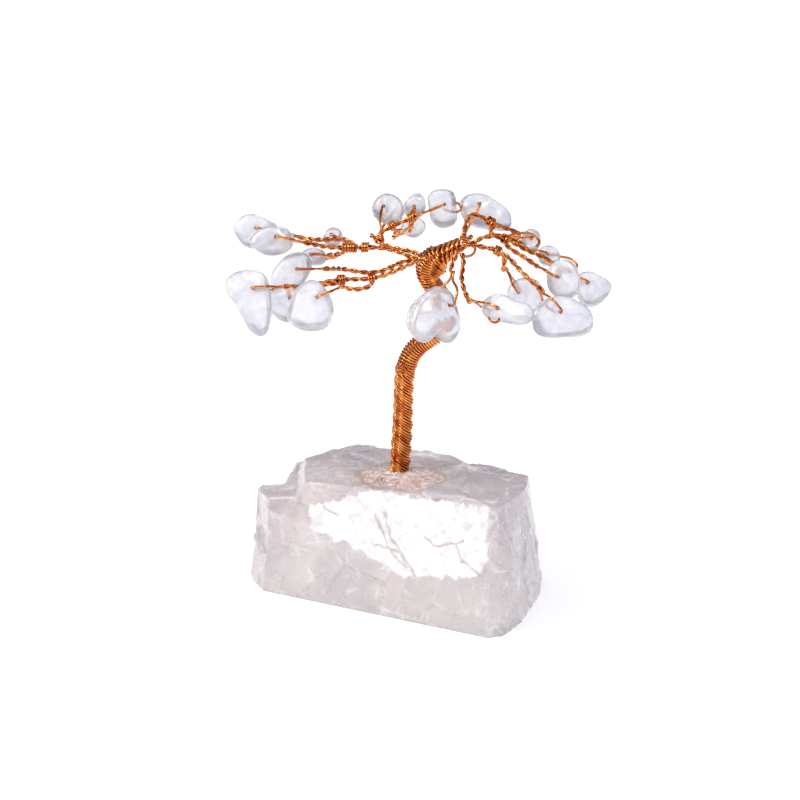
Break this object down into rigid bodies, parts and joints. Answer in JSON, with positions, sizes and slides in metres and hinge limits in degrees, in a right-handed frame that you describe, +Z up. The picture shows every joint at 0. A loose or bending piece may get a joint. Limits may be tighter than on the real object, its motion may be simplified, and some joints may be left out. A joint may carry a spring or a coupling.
{
  "type": "gemstone tree ornament",
  "caption": "Small wire tree with drilled quartz chips on twisted copper twigs and a wound trunk, standing on a rough quartz block; each chip rocks on its wire loop.",
  "frame": {"origin": "centre of the base block's underside", "axes": "+X along the base block's long side, +Y to its back, +Z up along the trunk"},
  "size_m": [0.0694, 0.051, 0.0787],
  "materials": {
    "base_quartz": "rough, broken",
    "chip_quartz": "tumbled, polished",
    "copper_wire": "bright copper",
    "glue": "clear glue with grit"
  },
  "bodies": {
    "tree": {"base_stone": "base_quartz", "root_mound": "glue", "trunk_core": "copper_wire", "trunk_lay": "copper_wire", "knee_wrap": "copper_wire", "crown_wrap": "copper_wire", "back_left_twig": "copper_wire", "back_upper_twig": "copper_wire", "back_lower_twig": "copper_wire", "back_middle_twig": "copper_wire", "back_right_twig": "copper_wire", "left_tip_twig": "copper_wire", "left_inner_twig": "copper_wire", "left_small_twig": "copper_wire", "left_middle_twig": "copper_wire", "left_rear_twig": "copper_wire", "front_left_tip_twig": "copper_wire", "front_left_round_twig": "copper_wire", "front_left_flat_twig": "copper_wire", "heart_twig": "copper_wire", "right_rear_small_twig": "copper_wire", "right_rear_twig": "copper_wire", "right_upper_twig": "copper_wire", "right_tip_twig": "copper_wire", "front_right_long_twig": "copper_wire", "front_right_inner_twig": "copper_wire", "front_right_large_twig": "copper_wire"},
    "back_left": {"back_left_chip": "chip_quartz"},
    "back_upper": {"back_upper_chip": "chip_quartz"},
    "back_lower": {"back_lower_chip": "chip_quartz"},
    "back_middle": {"back_middle_chip": "chip_quartz"},
    "back_right": {"back_right_chip": "chip_quartz"},
    "left_tip": {"left_tip_chip": "chip_quartz"},
    "left_inner": {"left_inner_chip": "chip_quartz"},
    "left_small": {"left_small_chip": "chip_quartz"},
    "left_middle": {"left_middle_chip": "chip_quartz"},
    "left_rear": {"left_rear_chip": "chip_quartz"},
    "front_left_tip": {"front_left_tip_chip": "chip_quartz"},
    "front_left_round": {"front_left_round_chip": "chip_quartz"},
    "front_left_flat": {"front_left_flat_chip": "chip_quartz"},
    "heart": {"heart_chip": "chip_quartz"},
    "right_rear_small": {"right_rear_small_chip": "chip_quartz"},
    "right_rear": {"right_rear_chip": "chip_quartz"},
    "right_upper": {"right_upper_chip": "chip_quartz"},
    "right_tip": {"right_tip_chip": "chip_quartz"},
    "front_right_long": {"front_right_long_chip": "chip_quartz"},
    "front_right_inner": {"front_right_inner_chip": "chip_quartz"},
    "front_right_large": {"front_right_large_chip": "chip_quartz"}
  },
  "joints": [
    {"name": "back_left_rock", "type": "hinge", "parent": "tree", "child": "back_left", "pos_m": [-0.00807, 0.00872, 0.0746], "axis": [0.205, -0.9171, 0.342], "range_deg": [-6, 12]},
    {"name": "back_upper_rock", "type": "hinge", "parent": "tree", "child": "back_upper", "pos_m": [-0.0049, 0.01461, 0.0732], "axis": [0.4922, -0.7696, 0.4067], "range_deg": [-12, 12]},
    {"name": "back_lower_rock", "type": "hinge", "parent": "tree", "child": "back_lower", "pos_m": [-0.0076, 0.0205, 0.0671], "axis": [0.2685, -0.9005, 0.342], "range_deg": [-12, 12]},
    {"name": "back_middle_rock", "type": "hinge", "parent": "tree", "child": "back_middle", "pos_m": [0.00303, 0.01111, 0.0757], "axis": [0.4783, -0.8088, 0.342], "range_deg": [-12, 12]},
    {"name": "back_right_rock", "type": "hinge", "parent": "tree", "child": "back_right", "pos_m": [0.00593, 0.02036, 0.0733], "axis": [0.5509, -0.69, 0.4695], "range_deg": [-12, 12]},
    {"name": "left_tip_rock", "type": "hinge", "parent": "tree", "child": "left_tip", "pos_m": [-0.02798, -0.00546, 0.0715], "axis": [0.168, -0.898, 0.4067], "range_deg": [-12, 12]},
    {"name": "left_inner_rock", "type": "hinge", "parent": "tree", "child": "left_inner", "pos_m": [-0.02135, -0.01173, 0.0727], "axis": [0.5063, -0.7916, 0.342], "range_deg": [-12, 12]},
    {"name": "left_small_rock", "type": "hinge", "parent": "tree", "child": "left_small", "pos_m": [-0.01703, 0.00391, 0.069], "axis": [0.2285, -0.877, 0.4226], "range_deg": [-12, 12]},
    {"name": "left_middle_rock", "type": "hinge", "parent": "tree", "child": "left_middle", "pos_m": [-0.01995, -0.00614, 0.0649], "axis": [0.5401, -0.7828, 0.309], "range_deg": [-12, 12]},
    {"name": "left_rear_rock", "type": "hinge", "parent": "tree", "child": "left_rear", "pos_m": [-0.01972, 0.0007, 0.0654], "axis": [0.1624, -0.8679, 0.4695], "range_deg": [-12, 12]},
    {"name": "front_left_tip_rock", "type": "hinge", "parent": "tree", "child": "front_left_tip", "pos_m": [-0.02063, -0.0211, 0.0655], "axis": [0.168, -0.898, 0.4067], "range_deg": [-12, 12]},
    {"name": "front_left_round_rock", "type": "hinge", "parent": "tree", "child": "front_left_round", "pos_m": [-0.00913, -0.0194, 0.065], "axis": [0.5528, -0.7444, 0.3746], "range_deg": [-12, 12]},
    {"name": "front_left_flat_rock", "type": "hinge", "parent": "tree", "child": "front_left_flat", "pos_m": [-0.01764, -0.01379, 0.0619], "axis": [0.5933, -0.7433, 0.309], "range_deg": [-12, 12]},
    {"name": "heart_rock", "type": "hinge", "parent": "tree", "child": "heart", "pos_m": [0.01075, -0.00575, 0.0621], "axis": [0.7211, -0.6357, 0.2756], "range_deg": [-12, 12]},
    {"name": "right_rear_small_rock", "type": "hinge", "parent": "tree", "child": "right_rear_small", "pos_m": [0.01617, 0.02307, 0.067], "axis": [0.5746, -0.6704, 0.4695], "range_deg": [-12, 12]},
    {"name": "right_rear_rock", "type": "hinge", "parent": "tree", "child": "right_rear", "pos_m": [0.02136, 0.0195, 0.0656], "axis": [0.2522, -0.8461, 0.4695], "range_deg": [-12, 12]},
    {"name": "right_upper_rock", "type": "hinge", "parent": "tree", "child": "right_upper", "pos_m": [0.02732, 0.00996, 0.065], "axis": [0.205, -0.9171, 0.342], "range_deg": [-12, 12]},
    {"name": "right_tip_rock", "type": "hinge", "parent": "tree", "child": "right_tip", "pos_m": [0.02864, 0.02046, 0.0606], "axis": [0.6034, -0.704, 0.3746], "range_deg": [-12, 12]},
    {"name": "front_right_long_rock", "type": "hinge", "parent": "tree", "child": "front_right_long", "pos_m": [0.02129, -0.00646, 0.063], "axis": [0.4842, -0.7572, 0.4384], "range_deg": [-12, 12]},
    {"name": "front_right_inner_rock", "type": "hinge", "parent": "tree", "child": "front_right_inner", "pos_m": [0.02046, 0.00721, 0.0618], "axis": [0.2397, -0.9203, 0.309], "range_deg": [-12, 12]},
    {"name": "front_right_large_rock", "type": "hinge", "parent": "tree", "child": "front_right_large", "pos_m": [0.02974, 0.00346, 0.0604], "axis": [0.5188, -0.752, 0.4067], "range_deg": [-12, 12]}
  ]
}
